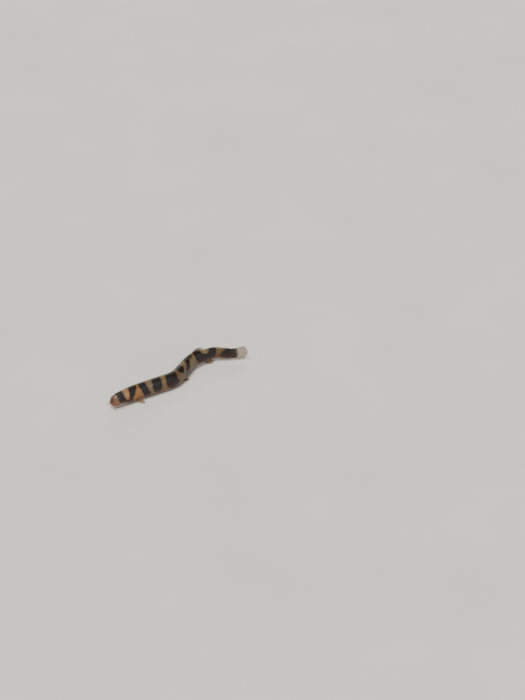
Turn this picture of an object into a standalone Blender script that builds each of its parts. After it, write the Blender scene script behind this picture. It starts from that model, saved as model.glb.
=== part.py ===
"""A kuhli loach, life size, lying still on its belly with its body in a gentle S.

Frame: metres, +Z up, the floor at z = 0 and the origin under the middle of the fish.
The head points to -X, and the fish's left side faces -Y.

The body is drawn straight first, in millimetres, by three numbers: how far behind the snout,
how far to the fish's left, and how high above the floor. `placed` then bends it along the spine.
"""

import math

import bmesh
import bpy
from mathutils import Vector

MM = 0.001

# Driving sizes in millimetres.
STANDARD_LENGTH = 75.5
BODY_DEPTH = 8.6
BODY_WIDTH = 6.8
GAP = 0.28

# The body's profile: how far behind the snout as a share of the standard length, the heights of
# the back and the belly over the floor as shares of the depth, and the width as a share of the width.
# A belly just below zero is pressed flat on the floor: those are the three rests.
STATIONS = {
    "snout": (0.000, 0.620, 0.250, 0.56),
    "mouth": (0.030, 0.830, 0.205, 0.68),
    "eye": (0.060, 0.915, 0.165, 0.77),
    "nape": (0.100, 0.965, 0.120, 0.86),
    "gill": (0.137, 0.985, 0.065, 0.91),
    "breast": (0.195, 1.000, -0.014, 0.96),
    "front belly": (0.310, 1.005, 0.016, 1.00),
    "middle belly": (0.440, 1.000, -0.014, 1.00),
    "rear belly": (0.570, 0.990, 0.016, 0.96),
    "loin": (0.680, 0.985, -0.014, 0.88),
    "vent": (0.750, 1.000, 0.095, 0.80),
    "anal fin": (0.805, 0.985, 0.170, 0.70),
    "stalk": (0.900, 0.965, 0.165, 0.49),
    "tail root": (1.000, 0.940, 0.145, 0.27),
}
WIDEST_LEVEL = 0.45
BACK_ROUNDNESS = 2.05
BELLY_ROUNDNESS = 2.35
SNOUT_CAP = 1.9
TAIL_CAP = 2.4
TAIL_CAP_LOSS = 0.45
TAIL_END_THICKNESS = 0.22

# The spine seen from above: where each bend starts and ends behind the snout, and its turn in degrees.
FIRST_HEADING = 3.0
BENDS = (
    (10.5, 17.0, -5.5),
    (31.0, 42.0, 36.0),
    (48.8, 57.0, -37.0),
    (63.2, 68.8, -32.0),
    (72.0, 84.0, 12.0),
)
SPINE_STEP = 0.25
SPINE_REACH = 92.0
# The middle of the whole fish seen from above, counted from its snout.
PLAN_MIDDLE = Vector((39.05, 3.1, 0.0))

# Where the body is parted into lengths, in millimetres behind the snout.
GILL_CUT = 10.4
TRUNK_CUTS = (26.5, 42.5, 57.5)
SIDES = 36
RING_STEP = 1.4
HEAD_SIDES = 40
HEAD_RING_STEP = 0.42

# The gill cover swells from its start to the gill cut, and its rear edge bows back on the sides.
GILL_COVER_START = 5.6
GILL_COVER_RISE = 0.24
GILL_BOW = 0.95
GILL_BOW_END = 15.0
GILL_COVER_MIDDLE = 103.0
GILL_COVER_REACH = 62.0

EYE_AT = 4.5
EYE_TURN = 57.0
EYE_RADIUS = 0.63
EYE_SINK = 0.27
EYE_GAP = 0.2

# The mouth: two fleshy crescents under the snout, the upper lip's front and half width, how far its
# corners sweep back, and how far round each crescent runs, in degrees.
MOUTH_FRONT = 1.75
MOUTH_HALF_WIDTH = 1.25
MOUTH_SWEEP = 1.25
MOUTH_SWING = 84.0
LIP_RADIUS = 0.40
UPPER_CORNER_RADIUS = 0.26
LOWER_LIP_BEHIND = 0.68
LOWER_LIP_RADIUS = 0.42
LOWER_LIP_HALF_WIDTH = 1.08
LOWER_CORNER_RADIUS = 0.20
LOWER_LIP_NOTCH = 0.13

# Each nostril: how far behind the snout, and the turn round the head in degrees.
FRONT_NOSTRIL = (1.55, 50.0)
REAR_NOSTRIL = (2.45, 52.0)
FRONT_NOSTRIL_BORE = 0.15
REAR_NOSTRIL_BORE = 0.24
# The tube round the front nostril, as radius and height over the skin.
NOSTRIL_TUBE = ((0.42, -0.45), (0.38, -0.10), (0.30, 0.20), (0.25, 0.36))

# The barbels: how far behind the snout, the turn round the head, length, root radius, and the tip's
# reach ahead, outwards and down, as shares of the length.
BARBELS = {
    "rostral": (0.40, 128.0, 2.5, 0.27, (0.62, 0.36, 0.62)),
    "snout_side": (1.25, 116.0, 2.9, 0.27, (0.30, 0.66, 0.66)),
    "mouth_corner": (3.20, 132.0, 3.4, 0.28, (-0.52, 0.70, 0.36)),
    "chin": (4.05, 158.0, 2.0, 0.25, (-0.66, 0.30, 0.20)),
}
BARBEL_SINK = 0.45
# How far a barbel runs straight out of the skin before its bend, as a share of its length.
BARBEL_KNEE = 0.32
BARBEL_TIP_RADIUS = 0.12
BARBEL_STEPS = 8
# How far the tips that close a round tube stand out, as shares of its radius there.
TUBE_START_TIP = 0.5
TUBE_END_TIP = 0.8

# Half the thickness of a fin's membrane at its root and edge, and the height of the ray ridges.
MEMBRANE = 0.26
FIN_EDGE = 0.12
FIN_THINS_FROM = 0.55
RAY_RISE = 0.09

# The fins. A root is given by its two ends behind the snout, and each pair of numbers after it is for
# the first ray and the last: what it loses of the longest ray, as a share, or its angle in degrees.
DORSAL_ROOT = (52.0, 56.2)
DORSAL_SUNK = 0.7
DORSAL_LONGEST = 5.9
DORSAL_LOSS = (0.24, 0.44)
DORSAL_RAKE = (32.0, 58.0)
DORSAL_RAKE_GROWTH = 14.0
DORSAL_SWAY = 0.35

# The anal fin is laid over sideways in a fold, so that it clears the floor.
ANAL_ROOT = (58.6, 62.4)
ANAL_SUNK = 0.55
ANAL_LONGEST = 5.6
ANAL_LOSS = (0.22, 0.40)
ANAL_RAKE = (44.0, 60.0)
ANAL_STRAIGHT = 0.50
ANAL_FOLD = 0.85
ANAL_LEAN = 91.0

CAUDAL_SUNK = 1.3
CAUDAL_LENGTH = 8.6
CAUDAL_ROOT_INSET = 0.45
CAUDAL_SPREAD = (11.5, -8.0)
CAUDAL_CORNER_LOSS = 2.1
CAUDAL_CORNER_POWER = 2.3
CAUDAL_SWAY = -0.5

PECTORAL = {
    "root": (12.0, 13.3),
    "turns": (117.0, 123.0),
    "angles": (42.0, 20.0),
    "longest": 5.8,
    "drop": 0.17,
    "sunk": 0.8,
    "rays": 8,
    "rows": 7,
}
PELVIC = {
    "root": (39.6, 40.7),
    "turns": (137.0, 139.0),
    "angles": (38.0, 14.0),
    "longest": 4.1,
    "drop": 0.10,
    "sunk": 0.7,
    "rays": 6,
    "rows": 6,
}
PAIRED_LOSS = (0.24, 0.40)
PAIRED_CURL = 0.06
PAIRED_ROOT_SLOPE = 0.3

SKIN_COLOUR = (0.36, 0.22, 0.13, 1.0)
FIN_COLOUR = (0.55, 0.44, 0.33, 1.0)
BARBEL_COLOUR = (0.62, 0.42, 0.33, 1.0)
EYE_COLOUR = (0.012, 0.011, 0.012, 1.0)


def smooth(x):
    """0 before 0, 1 after 1, and an easy curve between."""
    x = min(1.0, max(0.0, x))
    return x * x * (3.0 - 2.0 * x)


def bump(x, middle, half_width):
    """1 at the middle, 0 from half_width away on."""
    return 1.0 - smooth(abs(x - middle) / half_width)


def mixed(a, b, t):
    return a + (b - a) * t


def through(rows, x, column):
    """A smooth curve through one column of a table whose first column rises."""
    if x <= rows[0][0]:
        return rows[0][column]
    if x >= rows[-1][0]:
        return rows[-1][column]
    i = next(k for k in range(len(rows) - 1) if rows[k + 1][0] >= x)

    def slope(k):
        low, high = max(k - 1, 0), min(k + 1, len(rows) - 1)
        return (rows[high][column] - rows[low][column]) / (rows[high][0] - rows[low][0])

    span = rows[i + 1][0] - rows[i][0]
    t = (x - rows[i][0]) / span
    return (
        (2 * t**3 - 3 * t**2 + 1) * rows[i][column]
        + (t**3 - 2 * t**2 + t) * span * slope(i)
        + (3 * t**2 - 2 * t**3) * rows[i + 1][column]
        + (t**3 - t**2) * span * slope(i + 1)
    )


def heading(s):
    """The way the spine runs at s, seen from above, in radians from +X."""
    turned = sum(turn * smooth((s - start) / (end - start)) for start, end, turn in BENDS)
    return math.radians(FIRST_HEADING + turned)


def walked_spine():
    """Points of the spine on the floor, one every SPINE_STEP, from the snout on."""
    points = [Vector((0.0, 0.0))]
    for k in range(int(SPINE_REACH / SPINE_STEP)):
        way = heading((k + 0.5) * SPINE_STEP)
        points.append(points[-1] + SPINE_STEP * Vector((math.cos(way), math.sin(way))))
    return points


SPINE = walked_spine()


def placed(s, left, height):
    """A point of the straight body, bent along the spine, in metres."""
    k = min(len(SPINE) - 2, max(0, int(s / SPINE_STEP)))
    foot = SPINE[k] + (SPINE[k + 1] - SPINE[k]) * (s / SPINE_STEP - k)
    way = heading(s)
    bent = Vector((foot.x + left * math.sin(way), foot.y - left * math.cos(way), height))
    return (bent - PLAN_MIDDLE) * MM


def section(s):
    """Heights of the back, the widest level and the belly, and the half width, at s."""
    rows = list(STATIONS.values())
    share = s / STANDARD_LENGTH
    back = through(rows, share, 1) * BODY_DEPTH
    belly = through(rows, share, 2) * BODY_DEPTH
    half_width = through(rows, share, 3) * BODY_WIDTH / 2
    widest = belly + WIDEST_LEVEL * (back - belly)
    if s < SNOUT_CAP:
        round_off = math.sqrt(max(0.0, 1.0 - (1.0 - s / SNOUT_CAP) ** 2))
        back = widest + (back - widest) * round_off
        belly = widest + (belly - widest) * round_off
        half_width *= round_off
    if s > STANDARD_LENGTH - TAIL_CAP:
        past = (s - STANDARD_LENGTH + TAIL_CAP) / TAIL_CAP
        half_width *= max(TAIL_END_THICKNESS, math.sqrt(max(0.0, 1.0 - past**2)))
        back -= TAIL_CAP_LOSS * past**3
        belly += TAIL_CAP_LOSS * past**3
    return back, widest, belly, half_width


def gill_cover(turn):
    """1 at the middle of the gill cover's side, 0 above and below it."""
    turn = abs(math.degrees(math.remainder(turn, math.tau)))
    return bump(turn, GILL_COVER_MIDDLE, GILL_COVER_REACH)


def skin(s, turn, proud=0.0, swell=0.0):
    """A point of the straight body's skin. turn is 0 on the back, 90 degrees on the left side
    and 180 on the belly, in radians. proud moves it off the skin, and swell only sideways."""
    back, widest, belly, half_width = section(s)
    up, out = math.cos(turn), math.sin(turn)
    roundness = BACK_ROUNDNESS if up > 0 else BELLY_ROUNDNESS
    reach = (back - widest) if up > 0 else (widest - belly)
    side = math.copysign(abs(out) ** (2 / roundness), out)
    level = math.copysign(abs(up) ** (2 / roundness), up)
    left = side * (half_width + swell + proud)
    height = widest + level * (reach + proud)
    return Vector((s, left, height if proud else max(0.0, height)))


def skin_normal(s, turn):
    """The straight body's outward direction on its skin."""
    step = 0.05
    along = skin(s + step, turn) - skin(max(0.0, s - step), turn)
    around = skin(s, turn + step) - skin(s, turn - step)
    return along.cross(around).normalized()


def underside(s, left):
    """The height of the straight body's lower skin at s, left of the middle."""
    _, widest, belly, half_width = section(s)
    share = min(1.0, abs(left) / half_width)
    return widest - (widest - belly) * (1 - share**BELLY_ROUNDNESS) ** (1 / BELLY_ROUNDNESS)


def material(name, colour, roughness):
    made = bpy.data.materials.get(name)
    if made:
        return made
    made = bpy.data.materials.new(name)
    made.use_nodes = True
    shader = made.node_tree.nodes["Principled BSDF"]
    shader.inputs["Base Color"].default_value = colour
    shader.inputs["Roughness"].default_value = roughness
    shader.inputs["Metallic"].default_value = 0.0
    return made


def paint_skin():
    return material("wet skin", SKIN_COLOUR, 0.35)


def paint_fin():
    return material("fin membrane", FIN_COLOUR, 0.4)


def paint_barbel():
    return material("barbel skin", BARBEL_COLOUR, 0.4)


def paint_eye():
    return material("dark eye", EYE_COLOUR, 0.08)


def object_from(name, points, faces, paint=None):
    """An object from points in metres and lists of their numbers, its faces turned outwards."""
    mesh = bpy.data.meshes.new(name)
    mesh.from_pydata(points, [], faces)
    form = bmesh.new()
    form.from_mesh(mesh)
    bmesh.ops.recalc_face_normals(form, faces=form.faces)
    form.to_mesh(mesh)
    form.free()
    made = bpy.data.objects.new(name, mesh)
    bpy.context.scene.collection.objects.link(made)
    if paint:
        made.data.materials.append(paint)
    return made


def skinned(rings, start_tip=None, end_tip=None):
    """Points and faces of a body through closed rings of equal count, ended by tips or by flat faces."""
    points = [p for ring in rings for p in ring]
    count = len(rings[0])
    faces = []
    for r in range(len(rings) - 1):
        for k in range(count):
            a, b = r * count + k, r * count + (k + 1) % count
            faces.append((a, b, b + count, a + count))
    for ring, tip in ((0, start_tip), (len(rings) - 1, end_tip)):
        loop = [ring * count + k for k in range(count)]
        if tip is None:
            faces.append(tuple(loop))
            continue
        points.append(tip)
        faces += [(loop[k], loop[(k + 1) % count], len(points) - 1) for k in range(count)]
    return points, faces


def spaced(start, end, step):
    """Even places from start to end, about a step apart."""
    count = max(1, round((end - start) / step))
    return [start + (end - start) * k / count for k in range(count + 1)]


def skin_ring(s, sides, proud=0.0):
    return [placed(*skin(s, math.tau * k / sides, proud)) for k in range(sides)]


def gill_ring(s, sides, swelling):
    """A ring of the head, or of the trunk just behind it, where rings bow back like the gill edge."""
    rise = smooth((s - GILL_COVER_START) / (GILL_CUT - GILL_COVER_START))
    bow = rise if s < GILL_CUT else 1.0 - smooth((s - GILL_CUT) / (GILL_BOW_END - GILL_CUT))
    ring = []
    for k in range(sides):
        turn = math.tau * k / sides
        cover = gill_cover(turn)
        swell = GILL_COVER_RISE * rise * cover if swelling else 0.0
        ring.append(placed(*skin(s + GILL_BOW * bow * cover, turn, swell=swell)))
    return ring


def middle_of(s):
    """The middle of the body at s."""
    return placed(s, 0.0, section(s)[1])


def snout_places():
    """Places of the rings that round off the snout, closer together towards its tip."""
    count = 7
    return [SNOUT_CAP * (1 - math.cos(math.pi / 2 * k / count)) for k in range(1, count + 1)]


def tail_places():
    """Places of the rings that round off the tail root, closer together towards its end."""
    count = 5
    begin = STANDARD_LENGTH - TAIL_CAP
    return [begin + TAIL_CAP * math.sin(math.pi / 2 * k / count) for k in range(1, count + 1)]


def body_length(name, start, end):
    """One length of the trunk or tail, with a flat face at each end, or a bowed one at the gills."""
    by_gills = start < GILL_BOW_END
    places = spaced(start, min(end, STANDARD_LENGTH - TAIL_CAP), RING_STEP)
    if end >= STANDARD_LENGTH:
        places += tail_places()
    rings = [gill_ring(s, SIDES, False) if by_gills else skin_ring(s, SIDES) for s in places]
    made = object_from(name, *skinned(rings, middle_of(start) if by_gills else None), paint_skin())
    made.data.shade_smooth()
    made.data.set_sharp_from_angle(angle=math.radians(50))
    return made


def clearance_form():
    """The whole body grown by the gap, for cutting roots to the skin."""
    middle_places = spaced(SNOUT_CAP, STANDARD_LENGTH - TAIL_CAP, RING_STEP)[1:]
    rings = [skin_ring(s, SIDES, GAP) for s in snout_places() + middle_places + tail_places()]
    snout = placed(-GAP, 0.0, section(0.0)[1])
    tail = placed(STANDARD_LENGTH + GAP, 0.0, section(STANDARD_LENGTH)[1])
    made = object_from("clearance", *skinned(rings, snout, tail))
    made.hide_render = True
    made.display_type = "WIRE"
    return made


def boolean(target, operation, helpers):
    """Joins helpers to the target, or cuts them from it, and removes them."""
    group = bpy.data.collections.new(f"{target.name} {operation.lower()}")
    group.hide_render = True
    bpy.context.scene.collection.children.link(group)
    for helper in helpers:
        bpy.context.scene.collection.objects.unlink(helper)
        group.objects.link(helper)
    change = target.modifiers.new(operation.lower(), "BOOLEAN")
    change.operation = operation
    change.operand_type = "COLLECTION"
    change.collection = group
    apply_modifiers(target)
    for helper in helpers:
        bpy.data.objects.remove(helper)
    bpy.data.collections.remove(group)
    return target


def cut_clear(target, cutter):
    """Cuts a kept helper from the target, which then keeps its largest closed surface."""
    change = target.modifiers.new("clear of the body", "BOOLEAN")
    change.operation = "DIFFERENCE"
    change.object = cutter
    apply_modifiers(target)
    keep_largest(target)
    return target


def apply_modifiers(target):
    graph = bpy.context.evaluated_depsgraph_get()
    mesh = bpy.data.meshes.new_from_object(target.evaluated_get(graph))
    old = target.data
    target.modifiers.clear()
    target.data = mesh
    bpy.data.meshes.remove(old)


def keep_largest(target):
    """Deletes every closed surface of the mesh but the one with the most volume."""
    form = bmesh.new()
    form.from_mesh(target.data)
    left, shells = set(form.verts), []
    while left:
        shell, edge = set(), [left.pop()]
        while edge:
            point = edge.pop()
            shell.add(point)
            for link in point.link_edges:
                other = link.other_vert(point)
                if other in left:
                    left.discard(other)
                    edge.append(other)
        shells.append(shell)

    def size(shell):
        corners = [p.co for p in shell]
        spans = [max(c[k] for c in corners) - min(c[k] for c in corners) for k in range(3)]
        return spans[0] * spans[1] * spans[2]

    shells.sort(key=size)
    loose = [p for shell in shells[:-1] for p in shell]
    bmesh.ops.delete(form, geom=loose, context="VERTS")
    form.to_mesh(target.data)
    form.free()


def tapered_tube(name, path, radii, sides, paint=None):
    """A round solid along a path of points in metres, closed by a tip in line with each end."""
    rings = []
    across = Vector((0.0, 0.0, 1.0))
    for k, middle in enumerate(path):
        way = (path[min(k + 1, len(path) - 1)] - path[max(k - 1, 0)]).normalized()
        across = (across - way * across.dot(way)).normalized()
        over = way.cross(across)
        rings.append(
            [
                middle
                + (across * math.cos(math.tau * j / sides) + over * math.sin(math.tau * j / sides))
                * radii[k]
                for j in range(sides)
            ]
        )
    first = path[0] - (path[1] - path[0]).normalized() * radii[0] * TUBE_START_TIP
    last = path[-1] + (path[-1] - path[-2]).normalized() * radii[-1] * TUBE_END_TIP
    made = object_from(name, *skinned(rings, start_tip=first, end_tip=last), paint)
    made.data.shade_smooth()
    return made


def lip(name, front, half_width, radius, corner_radius, notch):
    """A fleshy crescent on the underside of the snout. notch narrows its middle."""
    path, radii = [], []
    half, notch_reach, sunk = 7, 0.26, 0.35
    for k in range(2 * half + 1):
        share = (k - half) / half
        swing = math.radians(MOUTH_SWING) * share
        s = front + MOUTH_SWEEP * (1 - math.cos(swing))
        left = half_width * math.sin(swing)
        path.append(placed(s, left, underside(s, left) + radius * sunk))
        thickness = mixed(radius, corner_radius, share**2)
        radii.append(MM * (thickness - notch * bump(share, 0.0, notch_reach)))
    return tapered_tube(name, path, radii, sides=8)


def on_head(s, turn_degrees, side, sink=0.0):
    """A place on the head, and its outward direction, both in the finished fish's frame."""
    turn = math.radians(turn_degrees) * side
    foot, out = skin(s, turn), skin_normal(s, turn)
    place = foot - out * sink
    ahead = place + out * 0.5
    return placed(*place), (placed(*ahead) - placed(*place)).normalized()


def nostril_tube(side):
    """The short tube round the front nostril."""
    place, out = on_head(*FRONT_NOSTRIL, side)
    path = [place + out * MM * height for _, height in NOSTRIL_TUBE]
    return tapered_tube("nostril tube", path, [MM * radius for radius, _ in NOSTRIL_TUBE], sides=10)


def nostril_pit(where, side, radius, top):
    """The hollow of a nostril, as a cutter."""
    place, out = on_head(*where, side)
    path = [place + out * MM * height for height in (-0.35, -0.10, top)]
    widths = (0.6, 0.9, 1.1)
    return tapered_tube("nostril pit", path, [MM * radius * width for width in widths], sides=10)


def ball(name, middle, radius, paint=None, subdivisions=3):
    form = bmesh.new()
    bmesh.ops.create_icosphere(form, subdivisions=subdivisions, radius=radius)
    bmesh.ops.translate(form, vec=middle, verts=form.verts)
    mesh = bpy.data.meshes.new(name)
    form.to_mesh(mesh)
    form.free()
    made = bpy.data.objects.new(name, mesh)
    bpy.context.scene.collection.objects.link(made)
    if paint:
        made.data.materials.append(paint)
    made.data.shade_smooth()
    return made


def head():
    """The head, with its lips, nostrils, gill covers and eye sockets."""
    end = GILL_CUT - GAP / 2
    places = snout_places() + spaced(SNOUT_CAP, end, HEAD_RING_STEP)[1:]
    rings = [gill_ring(s, HEAD_SIDES, True) for s in places]
    made = object_from("head", *skinned(rings, middle_of(0.0), middle_of(end)), paint_skin())
    upper = lip(
        "upper lip", MOUTH_FRONT, MOUTH_HALF_WIDTH, LIP_RADIUS, UPPER_CORNER_RADIUS, notch=0.0
    )
    lower = lip(
        "lower lip",
        MOUTH_FRONT + LOWER_LIP_BEHIND,
        LOWER_LIP_HALF_WIDTH,
        LOWER_LIP_RADIUS,
        LOWER_CORNER_RADIUS,
        notch=LOWER_LIP_NOTCH,
    )
    boolean(made, "UNION", [upper, lower, nostril_tube(1), nostril_tube(-1)])
    cutters = []
    for side in (1, -1):
        cutters.append(nostril_pit(FRONT_NOSTRIL, side, FRONT_NOSTRIL_BORE, top=0.6))
        cutters.append(nostril_pit(REAR_NOSTRIL, side, REAR_NOSTRIL_BORE, top=0.4))
        place, _ = on_head(EYE_AT, EYE_TURN, side, EYE_SINK)
        cutters.append(ball("socket", place, (EYE_RADIUS + EYE_GAP) * MM))
    boolean(made, "DIFFERENCE", cutters)
    keep_largest(made)
    made.data.shade_smooth()
    made.data.set_sharp_from_angle(angle=math.radians(42))
    return made


def eye(name, side):
    place, _ = on_head(EYE_AT, EYE_TURN, side, EYE_SINK)
    return ball(name, place, EYE_RADIUS * MM, paint_eye())


def barbel(name, kind, side, cutter):
    """One feeler: it leaves the skin straight and then bends to where it points."""
    s, turn, length, root, (ahead, out, down) = BARBELS[kind]
    foot = skin(s, math.radians(turn) * side)
    normal = skin_normal(s, math.radians(turn) * side)
    start = foot - normal * BARBEL_SINK
    knee = foot + normal * length * BARBEL_KNEE
    tip = foot + Vector((-ahead, out * side, -down)) * length
    path, radii = [], []
    for k in range(BARBEL_STEPS + 1):
        t = k / BARBEL_STEPS
        path.append(placed(*(start * (1 - t) ** 2 + knee * 2 * t * (1 - t) + tip * t * t)))
        radii.append(MM * mixed(root, BARBEL_TIP_RADIUS, t**1.2))
    made = tapered_tube(name, path, radii, 8, paint_barbel())
    return cut_clear(made, cutter)


def fin_plate(name, surface, rays, rows):
    """A thin solid fin on surface(u, v), u along its root and v out to its edge, with a low ridge
    over each ray on both faces. Both faces are split into triangles alike."""
    columns = 2 * rays + 1
    middle, over = [], []
    step = 0.01
    for j in range(columns):
        for i in range(rows + 1):
            u, v = j / (columns - 1), i / rows
            middle.append(surface(u, v))
            u0, u1 = max(0.0, u - step), min(1.0, u + step)
            v0, v1 = max(0.0, v - step), min(1.0, v + step)
            across = surface(u1, v) - surface(u0, v)
            along = surface(u, v1) - surface(u, v0)
            over.append(across.cross(along).normalized())
    halves = []
    for j in range(columns):
        for i in range(rows + 1):
            v = i / rows
            thinning = smooth((v - FIN_THINS_FROM) / (1 - FIN_THINS_FROM))
            membrane = mixed(MEMBRANE, FIN_EDGE, thinning)
            ridge = RAY_RISE * (1 - 0.5 * v) if j % 2 else 0.0
            halves.append(MM * (membrane + ridge))
    total = len(middle)
    points = [m + o * h for m, o, h in zip(middle, over, halves)]
    points += [m - o * h for m, o, h in zip(middle, over, halves)]
    faces = []
    for j in range(columns - 1):
        for i in range(rows):
            a = j * (rows + 1) + i
            b, c, d = a + 1, a + rows + 2, a + rows + 1
            for face in ((a, b, c), (a, c, d)):
                faces.append(face)
                faces.append(tuple(total + n for n in reversed(face)))
    rim = [j * (rows + 1) for j in range(columns)]
    rim += [(columns - 1) * (rows + 1) + i for i in range(1, rows + 1)]
    rim += [j * (rows + 1) + rows for j in range(columns - 2, -1, -1)]
    rim += [i for i in range(rows - 1, 0, -1)]
    for k, a in enumerate(rim):
        b = rim[(k + 1) % len(rim)]
        faces += [(a, b, b + total), (a, b + total, a + total)]
    made = object_from(name, points, faces, paint_fin())
    made.data.shade_smooth()
    made.data.set_sharp_from_angle(angle=math.radians(60))
    return made


def ray_length(u, longest, loss):
    """The length of the ray at u: rounded at the front, falling off to the rear."""
    front_loss, rear_loss = loss
    return longest * (1 - front_loss * (1 - u) ** 3 - rear_loss * u**2)


def dorsal_fin(cutter):
    """The small fin far back on the body, raked towards the tail."""

    def surface(u, v):
        length = (DORSAL_SUNK + ray_length(u, DORSAL_LONGEST, DORSAL_LOSS)) * v
        rake = math.radians(mixed(*DORSAL_RAKE, u) + DORSAL_RAKE_GROWTH * v)
        s = mixed(*DORSAL_ROOT, u)
        foot = section(s)[0] - DORSAL_SUNK
        return placed(
            s + length * math.sin(rake),
            DORSAL_SWAY * v * v,
            foot + length * math.cos(rake),
        )

    return cut_clear(fin_plate("dorsal_fin", surface, rays=8, rows=7), cutter)


def folded(reach):
    """How far down and to the left a ray of the anal fin gets over a reach of the given length."""
    pieces = 24
    drop, left = 0.0, 0.0
    for k in range(pieces):
        bent = smooth((reach * (k + 0.5) / pieces - ANAL_STRAIGHT) / ANAL_FOLD)
        lean = math.radians(ANAL_LEAN) * bent
        drop += math.cos(lean) * reach / pieces
        left += math.sin(lean) * reach / pieces
    return drop, left


def anal_fin(cutter):
    """The small fin behind the vent, folded back and laid over to the left, clear of the floor."""

    def surface(u, v):
        s = mixed(*ANAL_ROOT, u)
        length = (ANAL_SUNK + ray_length(u, ANAL_LONGEST, ANAL_LOSS)) * v
        rake = math.radians(mixed(*ANAL_RAKE, u))
        drop, left = folded(length * math.cos(rake))
        foot = section(s)[2] + ANAL_SUNK
        return placed(s + length * math.sin(rake), left, foot - drop)

    return cut_clear(fin_plate("anal_fin", surface, rays=7, rows=9), cutter)


def caudal_fin(cutter):
    """The tail fin: a fan with a rounded end."""
    root = STANDARD_LENGTH - CAUDAL_SUNK
    back, _, belly, _ = section(root)

    def surface(u, v):
        foot = mixed(back - CAUDAL_ROOT_INSET, belly + CAUDAL_ROOT_INSET, u)
        spread = math.radians(mixed(*CAUDAL_SPREAD, u))
        corner_loss = CAUDAL_CORNER_LOSS * abs(2 * u - 1) ** CAUDAL_CORNER_POWER
        length = (CAUDAL_SUNK + CAUDAL_LENGTH - corner_loss) * v
        return placed(
            root + length * math.cos(spread),
            CAUDAL_SWAY * v * v,
            foot + length * math.sin(spread),
        )

    return cut_clear(fin_plate("caudal_fin", surface, rays=14, rows=9), cutter)


def paired_fin(name, side, cutter, root, turns, angles, longest, drop, sunk, rays, rows):
    """A flat fin that spreads from the lower side. turns are the root's ends round the body, angles
    those of the first ray and the last out from the body, and drop is the fin's slope down."""

    def surface(u, v):
        s = mixed(*root, u)
        foot = skin(s, math.radians(mixed(*turns, u)) * side)
        angle = math.radians(mixed(*angles, u))
        length = ray_length(u, longest, PAIRED_LOSS)
        reach = (length + sunk) * v - sunk
        return placed(
            s + reach * math.cos(angle) + PAIRED_CURL * length * v * v,
            foot.y + side * reach * math.sin(angle),
            foot.z - drop * (reach if reach > 0 else PAIRED_ROOT_SLOPE * reach),
        )

    return cut_clear(fin_plate(name, surface, rays=rays, rows=rows), cutter)


def build():
    for old in list(bpy.data.objects):
        bpy.data.objects.remove(old)
    head()
    for side, word in ((1, "left"), (-1, "right")):
        eye(f"eye_{word}", side)
    cuts = (GILL_CUT, *TRUNK_CUTS, STANDARD_LENGTH + GAP / 2)
    lengths = ("trunk_front", "trunk_middle", "trunk_rear", "tail_stalk")
    for name, start, end in zip(lengths, cuts, cuts[1:]):
        body_length(name, start + GAP / 2, end - GAP / 2)
    clearance = clearance_form()
    for side, word in ((1, "left"), (-1, "right")):
        for kind in BARBELS:
            barbel(f"barbel_{kind}_{word}", kind, side, clearance)
        paired_fin(f"pectoral_fin_{word}", side, clearance, **PECTORAL)
        paired_fin(f"pelvic_fin_{word}", side, clearance, **PELVIC)
    dorsal_fin(clearance)
    anal_fin(clearance)
    caudal_fin(clearance)
    bpy.data.objects.remove(clearance)


build()
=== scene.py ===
"""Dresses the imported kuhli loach: one skin over head, trunk and tail, with eyes, nostrils, barbels
and rayed fins, on a pale studio floor.

The body is worked out straight, in millimetres: how far behind the snout (s), how far to the fish's
left and how high over the floor. `placed` bends it along the spine into the frame's metres. The
formulas and sizes are those of the solids, so each piece lies where its solid does.
"""

import functools
import math

import bpy
import numpy as np
from mathutils import Matrix


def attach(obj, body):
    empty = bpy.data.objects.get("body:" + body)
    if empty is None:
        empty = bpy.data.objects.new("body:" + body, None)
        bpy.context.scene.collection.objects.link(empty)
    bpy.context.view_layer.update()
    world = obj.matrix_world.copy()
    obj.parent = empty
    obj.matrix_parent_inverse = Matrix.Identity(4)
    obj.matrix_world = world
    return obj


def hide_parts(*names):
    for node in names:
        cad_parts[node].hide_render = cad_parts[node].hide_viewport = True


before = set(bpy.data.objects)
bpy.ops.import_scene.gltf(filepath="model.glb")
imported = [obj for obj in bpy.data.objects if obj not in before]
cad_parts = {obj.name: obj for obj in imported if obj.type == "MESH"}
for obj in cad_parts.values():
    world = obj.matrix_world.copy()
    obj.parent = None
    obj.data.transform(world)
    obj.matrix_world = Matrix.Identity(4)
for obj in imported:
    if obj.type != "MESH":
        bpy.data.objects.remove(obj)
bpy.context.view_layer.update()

MM = 0.001

# The body's sizes in millimetres, as in the solids. The stations are shares of these sizes.
STANDARD_LENGTH = 75.5
BODY_DEPTH = 8.6
BODY_WIDTH = 6.8
STATIONS = np.array([
    # behind the snout, back, belly, width
    (0.000, 0.620, 0.250, 0.56),
    (0.030, 0.830, 0.205, 0.68),
    (0.060, 0.915, 0.165, 0.77),
    (0.100, 0.965, 0.120, 0.86),
    (0.137, 0.985, 0.065, 0.91),
    (0.195, 1.000, -0.014, 0.96),
    (0.310, 1.005, 0.016, 1.00),
    (0.440, 1.000, -0.014, 1.00),
    (0.570, 0.990, 0.016, 0.96),
    (0.680, 0.985, -0.014, 0.88),
    (0.750, 1.000, 0.095, 0.80),
    (0.805, 0.985, 0.170, 0.70),
    (0.900, 0.965, 0.165, 0.49),
    (1.000, 0.940, 0.145, 0.27),
])
# How high the widest level lies, and how the rings and the body's two ends are rounded.
WIDEST_LEVEL = 0.45
BACK_ROUNDNESS = 2.05
BELLY_ROUNDNESS = 2.35
SNOUT_CAP = 1.9
TAIL_CAP = 2.4
TAIL_CAP_LOSS = 0.45
TAIL_END_THICKNESS = 0.22
# The flesh thins towards the tail fin more softly than the solid does.
TAIL_TAPER = 1.7

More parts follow.
